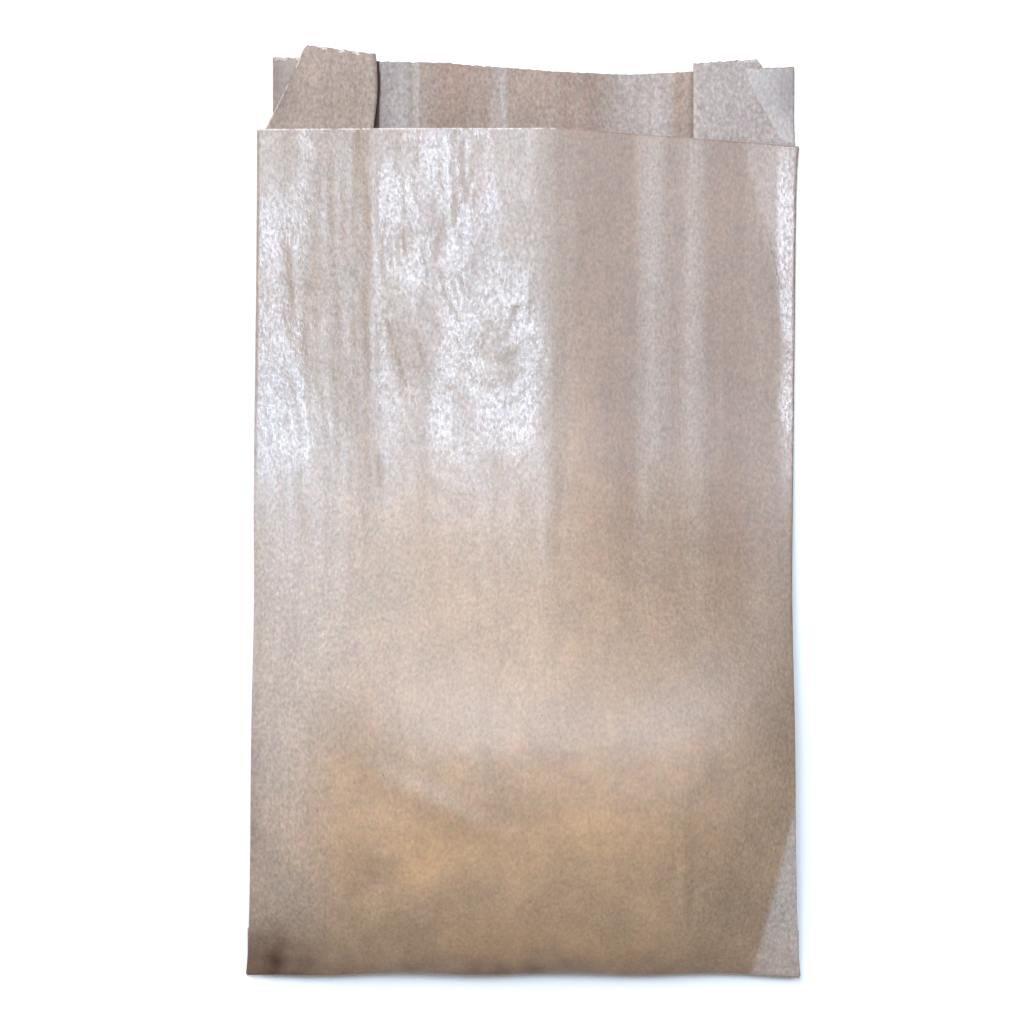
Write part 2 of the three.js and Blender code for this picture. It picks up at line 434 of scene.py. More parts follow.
def paper_grid(columns: Sequence[float], rows: Sequence[float], place: Place) -> BMesh:
    """A sheet as a grid whose vertices are put in place one by one.

    Args:
        columns: what place is given across the sheet.
        rows: what place is given along it.
        place: returns a point in millimetres.

    Returns:
        The sheet, one layer thick.
    """
    bm = bmesh.new()
    bmesh.ops.create_grid(bm, x_segments=len(columns) - 1, y_segments=len(rows) - 1, size=1.0)
    for vert in bm.verts:
        column = round((vert.co.x + 1) / 2 * (len(columns) - 1))
        row = round((vert.co.y + 1) / 2 * (len(rows) - 1))
        vert.co = Vector(place(columns[column], rows[row])) * MM
    return bm


def score(bm: BMesh, crease: Crease) -> None:
    """Gives a sheet vertices along a crease, so that it can be sharp.

    Args:
        bm: the sheet, one layer thick.
        crease: what is scored into it.
    """
    along = Vector((crease.end[0] - crease.start[0], crease.end[1] - crease.start[1], 0)).normalized()
    across = Vector((-along.y, along.x, 0))
    start = Vector((*crease.start, 0))
    for offset in (-1.0, 0.0, 1.0):
        near = set()
        for face in bm.faces:
            middle = face.calc_center_median() / MM
            share, aside = crease.frame(middle.x, middle.y)
            if -0.05 < share < 1.05 and abs(aside - offset * crease.reach) < 1.5:
                near.add(face)
        edges = {edge for face in near for edge in face.edges}
        verts = {vert for face in near for vert in face.verts}
        geom = [*near, *edges, *verts]
        point = (start + across * offset * crease.reach) * MM
        bmesh.ops.bisect_plane(bm, geom=geom, plane_co=point, plane_no=across, dist=0.05 * MM)


def mark_rim(bm: BMesh, columns: int, rows: int, smooth: Zone) -> None:
    """Gives a sheet the finish of torn fibres, here and there, along its cut edge.

    Args:
        bm: the sheet, still a plain grid.
        columns: how many vertices it has across.
        rows: how many it has along.
        smooth: where the cut is smoother, with fewer fibres.
    """
    bm.verts.ensure_lookup_table()
    for face in bm.faces:
        if min(vert.index // columns for vert in face.verts) == rows - 2:
            middle = face.calc_center_median() / MM
            if rough(middle.x / 1.7, 0.4, 5.5) - smooth.at(middle.x, middle.y) > -0.2:
                face.material_index = Ply.CUT


def thicken(bm: BMesh, thickness: float) -> None:
    """Gives a sheet its thickness, away from its outer face, and tells its faces apart.

    Args:
        bm: the sheet; its faces get the material slots of Ply.
        thickness: in millimetres.
    """
    count = len(bm.faces)
    bm.normal_update()
    bmesh.ops.solidify(bm, geom=bm.faces[:], thickness=thickness * MM)
    bm.faces.ensure_lookup_table()
    for index, face in enumerate(bm.faces):
        face.smooth = True
        if index >= 2 * count:
            face.material_index = Ply.CUT
        elif index >= count and bm.faces[index - count].material_index != Ply.CUT:
            face.material_index = Ply.INSIDE
    for edge in bm.edges:
        edge.smooth = len(edge.link_faces) == 2 and edge.calc_face_angle() < radians(50)
    bm.normal_update()


def write_layer(
    bm: BMesh, name: str, value: Callable[[float, float], float], least_up: float = -1.0
) -> None:
    """Writes a value to a sheet's vertices, and 0 to those that face too far down.

    Args:
        bm: the sheet.
        name: the name that the paper's finish reads it by.
        value: returns the value at x and y in millimetres.
        least_up: how far up a vertex faces at least, from -1 for every vertex to 1.
    """
    layer = bm.verts.layers.float.new(name)
    for vert in bm.verts:
        vert[layer] = value(vert.co.x / MM, vert.co.y / MM) if vert.normal.z >= least_up else 0.0


def linked(name: str, data: bpy.types.ID) -> Object:
    """Returns a new object of a mesh, light or camera, in the scene."""
    made = bpy.data.objects.new(name, data)
    bpy.context.scene.collection.objects.link(made)
    return made


def sheet_object(name: str, bm: BMesh, finishes: Sequence[Material]) -> Object:
    """Makes an object of a finished sheet and hangs it on the frame.

    Args:
        name: the piece's name.
        bm: the sheet, which is freed.
        finishes: the materials of its slots.

    Returns:
        The object, riding on the part's one body.
    """
    mesh = bpy.data.meshes.new(name)
    bm.to_mesh(mesh)
    bm.free()
    piece = linked(name, mesh)
    for finish in finishes:
        mesh.materials.append(finish)
    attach(piece, "root")
    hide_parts(NODE)
    return piece


# ---- Finishes ----


def rgb(code: str) -> tuple[float, float, float, float]:
    """Returns an sRGB hex code as linear red, green, blue and alpha."""
    parts = [int(code[i : i + 2], 16) / 255 for i in (1, 3, 5)]
    return (*(p / 12.92 if p <= 0.04045 else ((p + 0.055) / 1.055) ** 2.4 for p in parts), 1.0)


def add_node(
    tree: bpy.types.NodeTree, kind: str, inputs: dict | None = None, **settings: object
) -> bpy.types.Node:
    """Adds a node.

    Args:
        tree: the node tree it goes into.
        kind: the node's type name after ShaderNode.
        inputs: what its sockets are linked to or set to.
        settings: its own properties.

    Returns:
        The node.
    """
    node = tree.nodes.new("ShaderNode" + kind)
    for name, value in settings.items():
        setattr(node, name, value)
    for key, value in (inputs or {}).items():
        if isinstance(value, Socket):
            tree.links.new(value, node.inputs[key])
        else:
            node.inputs[key].default_value = value
    return node


@dataclass(frozen=True)
class KraftPaper:
    """Unbleached kraft paper, machine glazed: one face is pressed smooth on a drum, the other stays matt.

    The long fibres lie along the bag, so the paper is streaked and flecked lengthwise.
    """

    name: str
    base: str = "#88725c"
    shive: str = "#6d4f38"
    # warm and cool: the paper's tone, partly painted shade (warm) and painted grey sheen (cool)
    warm: str = "#785a3e"
    cool: str = "#a39a93"
    # painted shade: the dark colour laid on where shade falls, in the slit, behind the tabs and towards the
    # foot
    painted_shade_colour: str = "#3c1804"
    golden: str = "#b08a62"  # the crust's fat and colour showing through
    roughness: float = 0.6
    glaze_roughness: Pair = (0.6, 0.6)  # of the drum-pressed high spots and between them
    specular: float = 0.5
    fleck_mm: Pair = (0.75, 1.25)  # a fleck's width and length
    fibre_mm: Pair = (0.9, 1.2)
    mottle_mm: Pair = (2.2, 3.0)
    cloud_mm: Pair = (13.0, 15.0)
    streak_mm: Pair = (4.0, 90.0)
    shive_mm: Pair = (1.0, 1.4)
    flecked: float = 0.45
    fibred: float = 0.34
    mottled: float = 0.1
    clouded: float = 0.24
    streaked: float = 0.15
    relief_mm: float = 0.036

    def material(self) -> Material:
        """Returns the finish as a material."""
        made = bpy.data.materials.new(self.name)
        made.use_nodes = True
        tree = made.node_tree
        tree.nodes.clear()
        place = add_node(tree, "TexCoord").outputs["Object"]

        def grain(size: Pair, detail: float, kind: str = "Fac") -> Socket:
            """Returns noise, grey or in colour, whose grains have this width and length."""
            across, along = (1 / (s * MM) for s in size)
            scaled = add_node(tree, "Mapping", {"Vector": place, "Scale": (across, along, across)})
            ink = {"Vector": scaled.outputs["Vector"], "Scale": 1.0, "Detail": detail, "Roughness": 0.6}
            return add_node(tree, "TexNoise", ink).outputs[kind]

        fleck = grain(self.fleck_mm, 1.0)

        def graded(under: Socket, mottle: Socket, share: float) -> Socket:
            """Returns under made lighter and darker by a mottle, by as much as share says."""
            sockets = {0: share, 6: under, 7: mottle}
            return add_node(tree, "Mix", sockets, data_type="RGBA", blend_type="OVERLAY").outputs[2]

        def tinted(under: Socket, over: str, mask: Socket, low: float, high: float) -> Socket:
            """Returns under with the colour over laid on it where mask rises from low to high."""
            share = add_node(tree, "MapRange", {"Value": mask, 1: low, 2: high})
            sockets = {0: share.outputs[0], 6: under, 7: rgb(over)}
            return add_node(tree, "Mix", sockets, data_type="RGBA").outputs[2]

        def painted(name: str) -> Socket:
            """Returns what was written to the vertices under a name."""
            return add_node(tree, "Attribute", attribute_name=name).outputs["Fac"]

        colour = add_node(tree, "RGB").outputs[0]
        colour.default_value = rgb(self.base)
        # tone, partly painted shade and painted grey sheen
        tone_sheen_and_shade = painted("tone_sheen_and_shade")
        colour = tinted(colour, self.warm, tone_sheen_and_shade, 0.0, 1.0)
        colour = tinted(colour, self.cool, tone_sheen_and_shade, 0.0, -1.0)
        colour = graded(colour, grain(self.streak_mm, 3.0), self.streaked)
        colour = graded(colour, fleck, self.flecked)
        cloud = grain(self.cloud_mm, 4.0)
        blotched = add_node(tree, "MapRange", {"Value": cloud, 1: 0.3, 2: 0.7, 3: 0.75, 4: 1.25})
        soaked = {0: painted("show_through"), 1: blotched.outputs[0]}
        soaked = add_node(tree, "Math", soaked, operation="MULTIPLY").outputs[0]
        colour = tinted(colour, self.golden, soaked, 0.0, 1.0)
        colour = graded(colour, cloud, self.clouded)
        colour = graded(colour, grain(self.mottle_mm, 2.0, "Color"), self.mottled)
        colour = graded(colour, grain(self.fibre_mm, 2.0), self.fibred)
        colour = tinted(colour, self.shive, grain(self.shive_mm, 0.0), 0.88, 0.93)
        # painted shade, darkest in the slit, behind the tabs and along the foot
        colour = tinted(colour, self.painted_shade_colour, painted("painted_shade"), 0.0, 1.0)
        pressed, between = self.glaze_roughness
        high = add_node(tree, "MapRange", {"Value": fleck, 1: 0.3, 2: 0.7, 3: between, 4: pressed})
        gloss = add_node(tree, "Mix", {0: painted("polish"), 2: self.roughness, 3: high.outputs[0]})
        relief = {"Height": fleck, "Strength": 1.0, "Distance": self.relief_mm * MM}
        bumped = add_node(tree, "Bump", relief)
        shader = add_node(tree, "BsdfPrincipled", {
            "Base Color": colour,
            "Roughness": gloss.outputs[0],
            "Specular IOR Level": self.specular,
            "Normal": bumped.outputs["Normal"],
        })
        add_node(tree, "OutputMaterial", {"Surface": shader.outputs[0]})
        return made


class Finish(Enum):
    """The faces of the paper, in the order of Ply."""

    GLAZED = KraftPaper("kraft_glazed_outside", roughness=0.44, glaze_roughness=(0.21, 0.33), specular=0.8)
    MATT = KraftPaper("kraft_matt_inside", base="#928173", warm="#8a6c5a", cool="#a2968f", roughness=0.65)
    CUT = KraftPaper("kraft_cut_edge", base="#c9b9ab", roughness=0.8)


# ---- The sheets ----


@dataclass
class Sheet:
    """What every sheet of the bag shares."""

    form: BagForm
    finishes: Sequence[Material]

    def wrap_point(self, edge: Pair, slope: float, ply_slope: float, past: float) -> Pair:
        """A point of a panel past its side fold, in the section plane, folding down and back in.

        Args:
            edge: where the fold starts, as the distance out and the height.
            slope: how steeply the panel falls there.
            ply_slope: how steeply the gusset's ply falls inwards.
            past: the distance along the paper from the fold's start.

        Returns:
            The distance out and the height.
        """
        turn = pi - slope - ply_slope
        out, down = fold_arc(PAPER.fold_radius, slope, min(turn, past / PAPER.fold_radius))
        rest = max(0.0, past - turn * PAPER.fold_radius)
        return edge[0] + out - rest * cos(ply_slope), edge[1] - down - rest * sin(ply_slope)


@dataclass
class FrontPanel(Sheet):
    """The glazed front, from its cut edge down round the hem and up the back as a glued flap."""

    pitch: Pair = (0.72, 1.25)  # finer across the lengthwise wrinkles
    flap: float = 14.0
    flap_share: float = 0.97  # of the half width: past this lie the side wraps
    flap_up: float = -0.3  # what faces further down is the flap or the inside
    off_table_z: float = 1.5  # creases move only what faces up or lies higher than this
    hem_radius: float = 0.6
    rim: float = 0.4  # the width of the cut's torn fibres
    smooth_cut: Zone = Zone(6, 68, 0.35, 4, 0, 200)
    draw: float = 0.32  # how much the wrinkles run towards the middle on the slope
    creases: tuple[Crease, ...] = each(
        Crease, ((60.6, 93.5), (66.2, 78), -0.22, 0.5, 0, True),
        ((65.2, 80.5), (71, 58), 0.24, 0.6, 0, True), ((-39.8, 79), (-26.5, 25), 0.17, 1.5, -3),
        ((-33.8, 77), (-32.6, 65), -0.11, 0.9), ((-30.4, 84), (-29.6, 65), 0.1, 1),
        ((-9.5, 107), (-24, 69), -0.16, 1.7, 2.6), ((-4.7, 101), (-4, 86), -0.12, 1.1),
        ((3.2, 105), (2.6, 90), 0.11, 1.2), ((-22.4, 72), (-10.5, 46), 0.1, 1.3, -3.2),
        ((-10, 56), (4.5, 58.5), 0.09, 1.3, -0.8), ((-13.2, 39), (-6.5, 52.5), -0.08, 1.2),
        ((-24, 34.5), (-17.5, 36.5), 0.11, 1.4, -1), ((-11, 42.5), (0, 46), 0.07, 1.4, -1),
        ((-16, 24), (-4, 24.5), 0.12, 1.2, -1.6), ((-40.6, 17), (-39.2, -3), 0.1, 1.1),
        ((-38.4, 4), (-33, -4), -0.12, 1.1), ((-28.6, 13.5), (-23.4, 2), 0.12, 1.1, -0.6),
        ((-21, 2.5), (-14, -1.5), 0.11, 1.1, -0.8), ((8.6, 2), (5.8, -12), 0.1, 1.3, -0.8),
        ((-63.9, 77), (-61.9, 48), 0.1, 1), ((-63.4, 40), (-60.6, 22), 0.09, 1.1),
        ((-67.6, 60), (-64.2, 42), -0.1, 1.1), ((-60.8, 15), (-59, -14), 0.07, 1.3),
        ((-39.6, -28), (-32, -47), 0.2, 1.6), ((-46, -68), (6, -95), 0.35, 3.5),
        ((-6, -88), (28, -106), 0.25, 3), ((-25, -94), (-50, -108), -0.45, 2.4),
        ((-45, -92.5), (-31, -94.5), 0.3, 1.4), ((-54, -125), (-33, -106), 0.4, 2.2),
        ((-37, -105), (-11, -128), 0.4, 2.2), ((43, -76), (43.8, -118), 0.22, 1.4),
        ((46.8, -84), (46, -118), -0.2, 1.4), ((22, -126), (46, -118), 0.35, 1.5),
        ((-80, -126), (-60, -112), -0.7, 3),
    )
    wedge: Wedge = Wedge((-26, 60), (-26, 104.4), (-5, 104.4), 2.2)
    hollow: Pair = (-9.0, 75.0)  # the ripples run round this place and then straight up
    hollow_reach: float = 0.45
    glows: tuple[Spot, ...] = each(
        Spot, (0, -92, 0.43, 58, 32), (8, -48, 0.31, 48, 34), (-18, -6, 0.16, 28, 24),
        (-36, -92, 0.15, 18, 14), (-24, -97, 0.2, 12, 8), (28, -62, 0.12, 16, 26),
        (46, -68, 0.2, 14, 22), (-18, -86, 0.2, 18, 5), (16, 9.5, 0.3, 5.5, 26), (27, -94, 0.15, 17, 14),
        (-48, -74, 0.2, 12, 14), (0, -122, 0.42, 66, 9),
    )
    # the cool zones are mostly painted grey sheen, the warm ones the paper's tone
    tones: tuple[Zone, ...] = each(
        Zone, (7.5, 14.6, -0.15, 0.6, 66, 160), (6, 15, -0.35, 2.5, -20, 80, 25),
        (7.5, 80, 0.7, 2, -30, 160, 30), (14, 31, 0.35, 2.5, -10, 160, 40),
        (31.5, 38.5, -0.45, 3, -12, 125), (44, 49, -0.4, 2.5, -22, 125), (51, 61, 0.35, 3, -40, 125),
        (-80, -50, -0.4, 10, -65, 40, 30), (-84, -54, -0.35, 9, -118, -60, 18),
        (-50, -30, -0.12, 6, -45, 40, 20),
    )
    # painted shade: the foot's left corner and strip, a dark line along the hem, the left and right flanks
    # and a band over the crest
    painted_shades: tuple[Spot, ...] = each(
        Spot, (-69, -123, 0.6, 13, 10), (-6, -129, 0.62, 66, 8), (0, -128.6, 0.7, 110, 1),
        (-76, -82, 0.24, 7, 36), (32, -61, 0.11, 38, 15), (69, -50, 0.1, 9, 36),
        (56, -106, 0.15, 10, 14),
    )
    polish: tuple[Zone, ...] = each(
        Zone, (-40.4, 8, 0.88, 1.2, 0, 140, 38), (4.5, 12, -0.4, 3, -15, 140, 50),
        (-7.5, 9, -0.58, 3, 62, 150, 16), (-80, -59, 0.95, 4, 8, 100, 26), (-80, -71, 0.5, 2, 30, 66, 14),
        (-62, -40.4, 0.45, 2, 5, 128, 30), (-39, -24, -0.35, 4, -30, 62), (31.5, 38.5, 0.32, 3, -8, 110),
        (44, 49.5, 0.38, 3, -8, 125), (70.4, 80, 1, 1.6, 14, 94, 24),
    )
    least_polish: float = 0.1

    def crumple(self, x: float, y: float) -> float:
        """Returns the height of the wrinkles: lengthwise ones, ripples round the contents and puckers."""
        drawn = x * (1 + 0.1 * ease(-y, -100, 0) + self.draw * ease(-y, -30, 60) * bump(x, 55))
        broad = rough(drawn / 7.0, y / 45, 1.3)
        narrow = rough(drawn / 2.3, y / 22, 5.1)
        crisp = rough(x / 3.4, y / 3.0, 9.4) + 0.6 * rough(x / 1.5, y / 2.2, 4.6)
        glossy = ease(-x, -11, -7)
        hollow_x, hollow_y = self.hollow
        below = min(0.0, y - hollow_y) * self.hollow_reach
        around = atan2(-below, x - hollow_x)
        path = 14 * around + (y - hollow_y if around == 0 else hollow_y - y) * (below == 0)
        ripple = rough(hypot(x - hollow_x, below) / 2.0, path / 5.0, 3.9)
        rippled = ease(x, -44, -38) * glossy * ease(y, -30, 20)
        lengthwise = 0.10 * broad + (0.04 + 0.015 * ease(-x, 30, 50)) * narrow
        height = lengthwise * (0.25 + 0.75 * ease(y, -60, 20)) * (1 - 0.6 * rippled)
        puckered = 0.36 * ease(-y, 108, 122) * rough(x / 3.4, (y + 0.6 * abs(x)) / 2.8, 2.7)
        return height + 0.11 * rippled * ripple + 0.045 * crisp + puckered + self.wedge.height(x, y)

    def polish_at(self, x: float, y: float) -> float:
        """Returns how far the paper is glazed in one place."""
        glazed = self.least_polish + sum(zone.at(x, y) for zone in self.polish)
        patchy = 1 + 0.8 * rough(x / 8, y / 18, 2.2) + 0.3 * rough(x / 1.8, y / 2.4, 6.2)
        glazed = glazed * patchy + sum(facet.polish * facet.share(x, y) for facet in self.form.facets)
        return min(1.0, max(0.0, glazed))

    def tone_at(self, x: float, y: float) -> float:
        """Returns how warm or, below 0, how cool the paper is in one place; the cool is mostly painted grey
        sheen.
        """
        # the facets' painted grey reflection
        cool = sum(facet.tone * facet.share(x, y) for facet in self.form.facets)
        streaks = 0.3 * rough(x / 2.4, y / 40, 7.7) * ease(y, -60, 30)
        return sum(tone.at(x, y) for tone in self.tones) + streaks - cool

    def glow_at(self, x: float, y: float) -> float:
        """Returns how strongly the contents' colour shows through in one place."""
        return min(1.0, sum(glow.at(x, y) for glow in self.glows))

    def painted_shade_at(self, x: float, y: float) -> float:
        """Returns how deep the painted shade is in one place, uneven, mostly at the foot."""
        uneven = 1 + 0.45 * rough(x / 5.0, y / 4.0, 1.9)
        return max(0.0, min(1.0, uneven * sum(shade.at(x, y) for shade in self.painted_shades)))

    def place(self, a: float, b: float) -> Triple:
        """A point of the panel before its creases.

        Args:
            a: across: -1 to 1 on the panel, and millimetres past the fold beyond that.
            b: along: 0 at the hem to 1 at the cut edge, and millimetres round the hem below 0.

        Returns:
            The point in millimetres.
        """
        form = self.form
        u = clamp(a)
        side = 1 if a > 0 else -1
        if b < 0:
            return self.round_hem(u, -b)
        y = lerp(form.hem_edge_y(u), form.cut_edge_y(u), b)
        x = form.front_x(u, y)
        if abs(a) <= 1:
            calm = (1 - abs(u) ** 12) * ease(y, form.hem_y, form.hem_y + 3)
            return x, y, form.front_z(u, y) + self.crumple(x, y) * calm
        front, back, depth = form.gusset(y, side)
        slope = atan2(form.front_z(side * 0.99, y) - front, 0.01 * abs(x))
        out, up = self.wrap_point((side * x, front), slope, atan2((front - back) / 2, depth), abs(a) - 1)
        return side * out, y, up

    def round_hem(self, u: float, past: float) -> Triple:
        """A point of the panel past the hem, round the fold and up the back.

        Args:
            u: its place across the bag.
            past: the distance along the paper from where the hem's fold starts.

        Returns:
            The point in millimetres.
        """
        form = self.form
        y = form.hem_edge_y(u)
        x, z = form.front_x(u, y), form.front_z(u, y)
        front_slope = atan2(form.front_z(u, y + 1) - form.front_z(u, y), 1.0)
        back_slope = atan2(form.back_z(u, y) - form.back_z(u, y + 1), 1.0)
        turn = pi - front_slope - back_slope
        out, down = fold_arc(self.hem_radius, front_slope, min(turn, past / self.hem_radius))
        low, up = y - out, z - down
        rest = past - turn * self.hem_radius
        if rest <= 0:
            return x, low, up
        flap_y = low + rest

        def under(at_y: float) -> float:
            """Returns the flap's height where it lies against the back."""
            return form.back_z(clamp(x / form.front_x(1.0, at_y)), at_y) - 2 * PAPER.thickness

        return x, flap_y, under(flap_y) + (up - under(low)) * (1 - ease(rest, 0, 3))

    def build(self) -> Object:
        """Returns the finished front panel."""
        form = self.form
        length = form.front_cut_y - form.hem_y
        wrap = [1 + s for s in (0.18, 0.36, 0.55, 0.73, 0.92, 1.3, PAPER.wrap)]
        columns = [-w for w in reversed(wrap)] + spaced(-1, 1, self.pitch[0] / form.half) + wrap
        round_hem = [-s for s in (0.3, 0.6, 0.9, 1.2, 1.6, 2.2, *spaced(3.0, self.flap, 1.2))]
        rim = 1 - self.rim / length
        rows = list(reversed(round_hem)) + spaced(0, rim, self.pitch[1] / length) + [1.0]
        bm = paper_grid(columns, rows, self.place)
        mark_rim(bm, len(columns), len(rows), self.smooth_cut)
        self.trim(bm, columns, rows)
        for crease in self.creases:
            if crease.sharp:
                score(bm, crease)
        self.fold_creases(bm)
        thicken(bm, PAPER.thickness)
        write_layer(bm, "show_through", self.glow_at, least_up=self.flap_up)
        # tone, with painted grey sheen
        write_layer(bm, "tone_sheen_and_shade", self.tone_at)
        # painted shade at the foot, flanks and crest, kept off the flap and the inside
        write_layer(bm, "painted_shade", self.painted_shade_at, least_up=self.flap_up)
        write_layer(bm, "polish", self.polish_at)
        return sheet_object("front_panel", bm, self.finishes)

    def fold_creases(self, bm: BMesh) -> None:
        """Lifts and sinks the panel along its creases, but not the flap under the back."""
        form = self.form
        bm.normal_update()
        for vert in bm.verts:
            x, y, z = vert.co / MM
            on_flap = y < form.hem_y + self.flap and abs(x) < self.flap_share * form.half
            takes = ease(vert.normal.z, -0.6, 0.2) if on_flap else 1.0
            if vert.normal.z > 0.5 or z > self.off_table_z:
                vert.co.z += takes * sum(crease.height(x, y) for crease in self.creases) * MM

    def trim(self, bm: BMesh, columns: Sequence[float], rows: Sequence[float]) -> None:
        """Cuts the side wraps away below the hem, where the folded corner holds no more paper."""
        places = ((vert, divmod(vert.index, len(columns))) for vert in bm.verts)
        waste = [vert for vert, (row, column) in places if abs(columns[column]) > 1 and rows[row] < 0]
        bmesh.ops.delete(bm, geom=waste, context="VERTS")


@dataclass
class Gusset(Sheet):
    """A side, folded inwards: front ply, inner fold and back ply, all standing past the front."""

    side: int = -1
    pitch: float = 0.7
    row_pitch: float = 1.8
    inner_x: float = -40.5  # the inner fold at the mouth
    rim: float = 0.8
    spring: float = 1.0  # how far the inner fold springs up past the front's cut edge
    sway: float = 0.0  # how far the inner fold bows to the side there
    sway_length: float = 22.0
    top: tuple[Pair, ...] = ()  # the front ply's cut: distance in from the side fold, and y
    back_top: float = 124.6
    # warmer and darker, or below 0 cooler and lighter: each tab's tone is painted shade or sheen
    tone: float = 0.0
    corner: Spot = Spot(-71, 118, 0.5, 7, 11)  # the painted shade of the corner behind the tab
    crease: Crease = Crease((-63.4, 107), (-63.8, 124), 0.22, 0.45)

    def fold_x(self, y: float, in_front: bool) -> float:
        """Returns the distance from the middle plane to the outer fold of a ply."""
        edge = self.form.front_x(self.side, min(y, 102.0)) if in_front else self.form.back_x(self.side, y)
        return self.side * edge - (0.9 if in_front else lerp(0.9, 0.15, ease(y, 96, 104)))

    def inner_fold(self, y: float) -> Triple:
        """The inner fold in one place.

        Args:
            y: where along the bag.

        Returns:
            Its distance from the middle plane, the height of its middle, and its radius.
        """
        form = self.form
        front, back, depth = form.gusset(y, self.side)
        clamped = min(y, form.cut_edge_y(self.side))
        under_front = form.front_z(self.inner_x / form.half, clamped) - 0.5
        lift = self.spring * ease(y, form.front_cut_y - 4, form.front_cut_y + 12)
        flat = ease(y, -10, 50)
        radius = lerp(0.3, 0.4 + 0.4 * lift, ease(y, 20, form.front_cut_y))
        open_x = self.side * form.front_x(self.side, clamped) - depth
        raised = form.back_z(open_x / form.half, y) - back  # the back rises towards the middle of the hem
        z = lerp((front + back) / 2 + raised, under_front + lift - radius, flat)
        past = ease(y, form.front_cut_y - 4, form.front_cut_y)
        sway = self.sway * sin(pi * (y - form.front_cut_y) / self.sway_length) * past
        return lerp(open_x, self.side * self.inner_x - sway, flat), z, radius

    def cut_y(self, share: float, in_front: bool) -> float:
        """Returns the y of the cut edge, share of the way from an outer fold to the inner one."""
        distance = share * self.form.gusset_ply
        if not in_front:
            return self.back_top - tooth(distance, 0.5)
        knife = 1.0 if distance > self.top[-3][0] else 0.15
        return follow(self.top, distance) - knife * tooth(distance, 0.55)

    def place(self, a: float, b: float) -> Triple:
        """A point of the gusset.

        Args:
            a: across: 0 to 1 on the front ply, 1 to 2 round the inner fold, 2 to 3 on the back ply.
            b: along: 0 at the hem to 1 at the cut.

        Returns:
            The point in millimetres.
        """
        form = self.form
        in_front = a < 1.5
        share = min(1.0, a) if in_front else min(1.0, 3 - a)
        y = lerp(form.hem_edge_y(self.side) + 2.4, self.cut_y(share, in_front), b)
        inner, middle, radius = self.inner_fold(y)
        front, back, _ = form.gusset(y, self.side)
        if 1 < a < 2:
            angle = (a - 1) * pi
            return self.side * (inner - radius * sin(angle)), y, middle + radius * cos(angle)
        out = lerp(self.fold_x(y, in_front), inner, share)
        bow = 0.6 * sin(pi * share) * ease(front - back, 4, 12)
        if in_front:
            z = lerp(front - 2 * PAPER.fold_radius + 0.2, middle + radius, share) - bow
            clamped = min(y, form.cut_edge_y(self.side))
            rise = self.spring * ease(y, form.front_cut_y - 4, form.front_cut_y + 12) * share**2
            roof = form.front_z(self.side * out / form.half, clamped) - 0.42 + rise
            z = min(z, roof) if y > -20 else z
            return self.side * out, y, z + self.crease.height(self.side * out, y)
        rise = form.lip_rise(self.side * out, y)
        over = 0.5 * ease(y, 90, 97) + rise  # at the mouth it lies over the back's turned-up edge
        z = max(lerp(back + 0.35 + over, middle - radius, share) + bow, back + 0.15 + rise)
        return self.side * out, y, z

    def build(self) -> Object:
        """Returns the finished gusset."""
        form = self.form
        ply = spaced(0, 1, self.pitch / form.gusset_ply)
        turn = [1 + i / 8 for i in range(1, 8)]
        columns = ply + turn + [3 - p for p in reversed(ply)]
        length = self.top[-1][1] - form.hem_y
        mouth = (form.front_cut_y - 6 - form.hem_y) / length
        rim = 1 - self.rim / length
        rows = spaced(0, mouth, self.row_pitch / length)
        rows += spaced(mouth, rim, self.pitch / length)[1:] + [1.0]
        bm = paper_grid(columns, rows, self.place)
        mark_rim(bm, len(columns), len(rows), Zone(-90, 90, 0.35, 1, self.back_top - 0.5, 200, 0.3))
        if self.side < 0:
            bmesh.ops.reverse_faces(bm, faces=bm.faces[:])
        thicken(bm, PAPER.thickness)
        # the tab's tone: painted shade on the left tab, painted sheen on the right
        write_layer(bm, "tone_sheen_and_shade", lambda x, y: self.tone)
        # painted shade of the corner behind the tab
        write_layer(bm, "painted_shade", self.corner.at)
        return sheet_object("gusset_left" if self.side < 0 else "gusset_right", bm, self.finishes)


